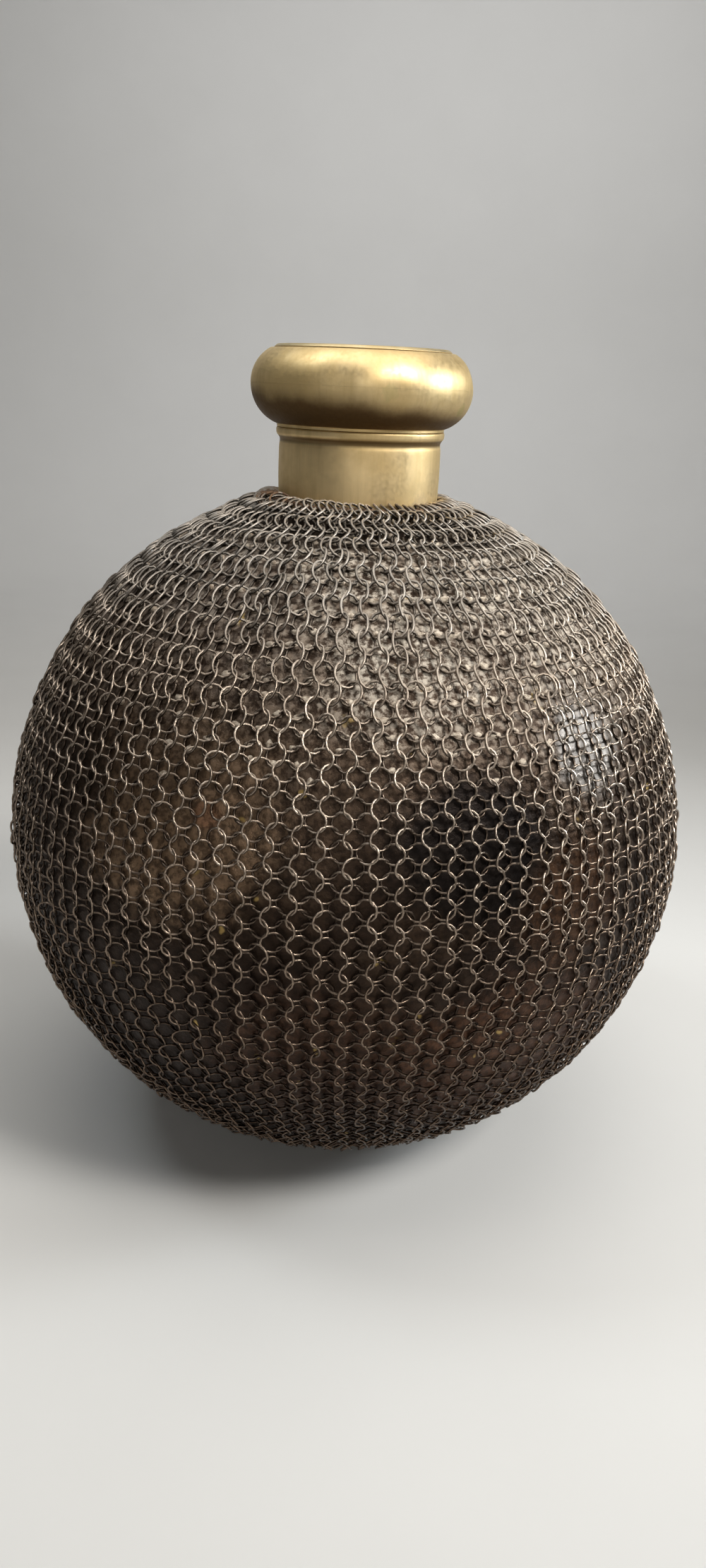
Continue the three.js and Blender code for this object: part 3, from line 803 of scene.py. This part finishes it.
# Painted shade: the rings are darker towards the bottom and in the dark reflection patch.
painted_shade = graded(tree, height_of, globe_centre - 0.14, globe_centre + 0.11, 0.90, 0.0)
shaded = spotted(tree, where, dark_reflection_spot, 0.058, 0.75, 30.0)
painted_shade = sums(tree, "MAXIMUM", painted_shade, times(tree, shaded, 0.4))
painted_shade = times(tree, painted_shade, graded(tree, wear, 0.5, 1.0, 1.0, 0.76))
iron = blended(tree, painted_shade, iron, (0.030, 0.017, 0.011, 1))
dusty = use_group(tree, dust_cover, {
    "Where": where, "Height": height_of, "Bare below": globe_centre - 0.02,
    "Full above": globe_centre + 0.19, "Grain": 420.0})
rubbed = spotted(tree, where, (0.146, -0.153, globe_centre + 0.106), 0.046, 0.9, 45.0)
dust = graded(tree, dusty["Dust"], 0.0, 0.7)
for fading in (graded(tree, sky_of, 0.1, 0.75, 0.03, 1.0), graded(tree, rubbed, 0.0, 1.0, 1.0, 0.25),
               graded(tree, browner, 0.0, 1.0, 1.0, 0.5),
               graded(tree, height_of, globe_centre + 0.10, globe_centre + 0.19, 0.9, 0.5)):
    dust = times(tree, dust, fading)
caked = graded(tree, sky_of, 1.1, 1.9)
dust = sums(tree, "MAXIMUM", dust, caked)
dust_tint = blended(tree, tone_of, (0.35, 0.285, 0.22, 1), (0.58, 0.495, 0.40, 1))
crumb = blended(tree, graded(tree, noise(tree, where, 330.0, 4.0, 0.7), 0.36, 0.60), (0.28, 0.215, 0.158, 1),
                (0.80, 0.705, 0.58, 1))
# Painted shade: the dust clumps are darker towards the left.
crumb = blended(tree, graded(tree, across_of, -0.15, 0.06, 0.55, 0.0), crumb, (0.20, 0.145, 0.10, 1))
iron = blended(tree, dust, iron, blended(tree, caked, dust_tint, crumb))
bloom = use_group(tree, rust_bloom, {"Where": where, "Amount": rust_of, "Grain": 240.0})
iron = blended(tree, bloom["Rust"], iron, bloom["Tint"])
dustless = sums(tree, "SUBTRACT", 1.0, times(tree, dust, 0.9))
rustless = sums(tree, "SUBTRACT", 1.0, times(tree, bloom["Rust"], 0.85))
bare_metal = times(tree, dustless, rustless)
rubbed_wear = times(tree, times(tree, rubbed, wear), 0.5)
iron = blended(tree, rubbed_wear, iron, (0.50, 0.47, 0.43, 1))
feed(tree, shader, {"Base Color": iron, "Metallic": times(tree, bare_metal, 0.9)})
matt = sums(tree, "ADD", graded(tree, bare_metal, 0.1, 1.0, 0.82, 0.30), graded(
    tree, height_of, globe_centre + 0.12, globe_centre + 0.19, 0.0, 0.15))
matt = sums(tree, "SUBTRACT", matt, times(tree, rubbed, 0.10))
feed(tree, shader, {"Roughness": matt})
bump = place(tree, "Bump", {
    "Height": grit, "Strength": graded(tree, caked, 0.0, 1.0, 0.35, 0.8), "Distance": 0.0005})
feed(tree, shader, {"Normal": bump.outputs["Normal"]})

bands = (("shoulder_mail", 0, 14), ("upper_mail", 14, 27), ("belly_mail", 27, 40), ("lower_mail", 40, 53),
         ("foot_mail", 53, row_count))
for name, start_row, end_row in bands:
    chosen = (ring_row >= start_row) & (ring_row < end_row) & ~lost
    band = ring_cloth(name, ring_middle[chosen], facing[chosen], upward[chosen], size[chosen], oval[chosen],
                      wire[chosen], tone[chosen], rust_level[chosen], over_globe,
                      dust_clumps(chosen & clumped))
    band.data.materials.append(mail_finish)
    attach(band, "root")
    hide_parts("mail_side_net")

# Mail under the globe: the same iron rings, linked in rows into a flat round sheet.
# It closes the cover below, and the pot stands on it.
under_reach = 0.063
under_pitch = 0.013
under_row_pitch = 0.0086
under_slant = 0.30
under_drop = 0.0006
row_index, place_index = np.meshgrid(np.arange(-8, 9), np.arange(-6, 7), indexing="ij")
under_x = ((place_index + 0.5 * (row_index % 2)) * under_pitch).ravel()
under_y = (row_index * under_row_pitch).ravel()
near = np.hypot(under_x, under_y) < under_reach
under_x, under_y = under_x[near], under_y[near]
under_lean = np.where(row_index.ravel()[near] % 2 == 1, -1.0, 1.0)
under_count = len(under_x)
under_middle = np.stack([under_x, under_y, np.full(under_count, base_plane / 2 - under_drop)], axis=1)
under_facing = np.stack([under_lean * under_slant, chance.normal(0, 0.03, under_count),
                         np.full(under_count, -1.0)], axis=1)
under_along = np.broadcast_to(np.array([[0.0, 1.0, 0.0]]), under_middle.shape)
under_tone = chance.uniform(0, 1, under_count)


def under_globe(points):
    """Depths under the globe's flat."""
    return base_plane - points[:, 2]


base_mail = ring_cloth(
    "base_mail", under_middle, under_facing, under_along, np.full(under_count, ring_radius),
    np.zeros(under_count), np.full(under_count, ring_wire), under_tone, 0.3 * under_tone, under_globe)
base_mail.data.materials.append(mail_finish)
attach(base_mail, "root")
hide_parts("mail_base_net")

# Draw wire: a hoop of rusted iron wire, bent round the neck and threaded through the top row of rings.
# It holds the mail up, and it rises with the heap of rings on the left.
hoop_turns = 120
hoop_sides = 10
hoop_turn = (np.arange(hoop_turns) * 2 * math.pi / hoop_turns)[None, :]
hoop_side = -(np.arange(hoop_sides) * 2 * math.pi / hoop_sides)[:, None]
hoop_rise = 0.0022 * heaped(hoop_turn) + 0.0003 * np.sin(7 * hoop_turn)
hoop_stray = 0.0003 * np.sin(5 * hoop_turn + 1.0)
draw_wire = turned_sheet(
    "draw_wire", hoop_radius + hoop_stray + hoop_thickness * np.cos(hoop_side[::-1]),
    hoop_height + hoop_rise + hoop_thickness * np.sin(hoop_side[::-1]), crease=None)
wire_finish, tree, shader, where = new_material("rusted_draw_wire")
bloom = use_group(tree, rust_bloom, {"Where": where, "Amount": 0.9, "Grain": 180.0})
rusty = blended(tree, bloom["Rust"], (0.12, 0.095, 0.078, 1), bloom["Tint"])
feed(tree, shader, {"Base Color": rusty})
feed(tree, shader, {"Metallic": graded(tree, bloom["Rust"], 0.0, 1.0, 0.85, 0.1)})
feed(tree, shader, {"Roughness": graded(tree, bloom["Rust"], 0.0, 1.0, 0.45, 0.85)})
draw_wire.data.materials.append(wire_finish)
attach(draw_wire, "root")
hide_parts("neck_draw_wire")

# Studio: a round sweep of pale paper, and six soft lamps: a window and a key lamp on the right, one overhead,
# one in front, a weak one high on the left, and one for the backdrop.
sweep_floor = 2.2
sweep_bend = 0.8
sweep_height = 3.4
bend_angle = np.linspace(0, math.pi / 2, 13)
sweep_radius = np.concatenate([
    np.linspace(0.1, sweep_floor, 12), sweep_floor + sweep_bend * np.sin(bend_angle[1:]),
    [sweep_floor + sweep_bend]])
sweep_rise = np.concatenate([np.zeros(12), sweep_bend * (1 - np.cos(bend_angle[1:])), [sweep_height]])
sweep_turns = 96
turn_across = np.arange(sweep_turns) * 2 * math.pi / sweep_turns
sweep_index = np.arange(len(sweep_radius) * sweep_turns).reshape(-1, sweep_turns)
sweep_beside = np.roll(sweep_index, -1, axis=1)
sweep_points = np.stack([
    sweep_radius[:, None] * np.cos(turn_across), sweep_radius[:, None] * np.sin(turn_across),
    sweep_rise[:, None] + 0 * turn_across], axis=-1).reshape(-1, 3)
sweep_faces = np.stack([sweep_index[:-1], sweep_index[1:], sweep_beside[1:], sweep_beside[:-1]],
                       axis=-1).reshape(-1, 4).tolist() + [sweep_index[0].tolist()]
sweep = put_mesh("studio_sweep", sweep_points, sweep_faces)
paper, tree, shader, where = new_material("pale_paper")
fibre = noise(tree, where, 6.0, 3.0, 0.5)
paper_tint = blended(tree, fibre, (0.70, 0.695, 0.68, 1), (0.74, 0.735, 0.72, 1))
feed(tree, shader, {"Base Color": paper_tint, "Roughness": 0.95, "Specular IOR Level": 0.1})
sweep.data.materials.append(paper)

world = bpy.data.worlds.new("studio_air")
world.use_nodes = True
world.node_tree.nodes["Background"].inputs["Color"].default_value = (1.0, 0.98, 0.95, 1)
world.node_tree.nodes["Background"].inputs["Strength"].default_value = 0.03
bpy.context.scene.world = world


def soft_lamp(name, spot, aim, across, tall, power, spread, tint=(1.0, 1.0, 1.0)):
    """Area lamp at a spot, facing a point, that the camera doesn't see. Its light stays within a spread of
    so many degrees."""
    lamp = bpy.data.lights.new(name, "AREA")
    lamp.shape = "RECTANGLE"
    lamp.size = across
    lamp.size_y = tall
    lamp.spread = math.radians(spread)
    lamp.energy = power
    lamp.color = tint
    holder = bpy.data.objects.new(name, lamp)
    bpy.context.collection.objects.link(holder)
    way = Vector(aim) - Vector(spot)
    holder.matrix_world = Matrix.Translation(spot) @ way.to_track_quat("-Z", "Y").to_matrix().to_4x4()
    holder.visible_camera = False


warm = (1.0, 0.97, 0.92)
cool = (0.92, 0.97, 1.0)
soft_lamp("window_lamp", (2.02, 0.10, 1.00), (0, 0, 0.15), 0.6, 0.7, 3.2, 60, cool)
soft_lamp("key_lamp", (1.32, -1.2, 1.95), (0, 0, 0.30), 0.6, 0.6, 4.3, 60, warm)
soft_lamp("ceiling_lamp", (0.2, 0.0, 2.2), (0.2, 0.0, 0), 2.0, 1.9, 11.5, 120, warm)
soft_lamp("front_lamp", (0.1, -2.1, 0.9), (0, 0, 0.30), 1.4, 0.7, 2.2, 110, warm)
soft_lamp("left_lamp", (-1.15, 0.0, 2.2), (0, 0, 0.50), 0.6, 0.6, 0.8, 50, cool)
soft_lamp("backdrop_lamp", (0.3, 0.9, 2.4), (0.1, 3.0, 0.7), 1.4, 0.6, 13.0, 100)

# Camera: at the height, distance, tilt and roll from which the photograph was taken.
# They were worked out from the pot's outline in it.
photo_width, photo_height = 1000, 2222
focal_pixels = 1670
camera_away = 0.8115
camera_rise = 0.3027
camera_pan = -0.34
camera_dip = 18.93
camera_roll = 2.37
camera_data = bpy.data.cameras.new("camera")
camera_data.sensor_width = 36.0
camera_data.lens = focal_pixels / max(photo_width, photo_height) * camera_data.sensor_width
camera = bpy.data.objects.new("camera", camera_data)
bpy.context.collection.objects.link(camera)
camera.matrix_world = (
    Matrix.Translation((0.0, -camera_away, globe_centre + camera_rise))
    @ Matrix.Rotation(math.radians(camera_pan), 4, "Z")
    @ Matrix.Rotation(math.radians(90 - camera_dip), 4, "X")
    @ Matrix.Rotation(math.radians(camera_roll), 4, "Z"))
bpy.context.scene.camera = camera
bpy.context.scene.view_settings.view_transform = "Standard"
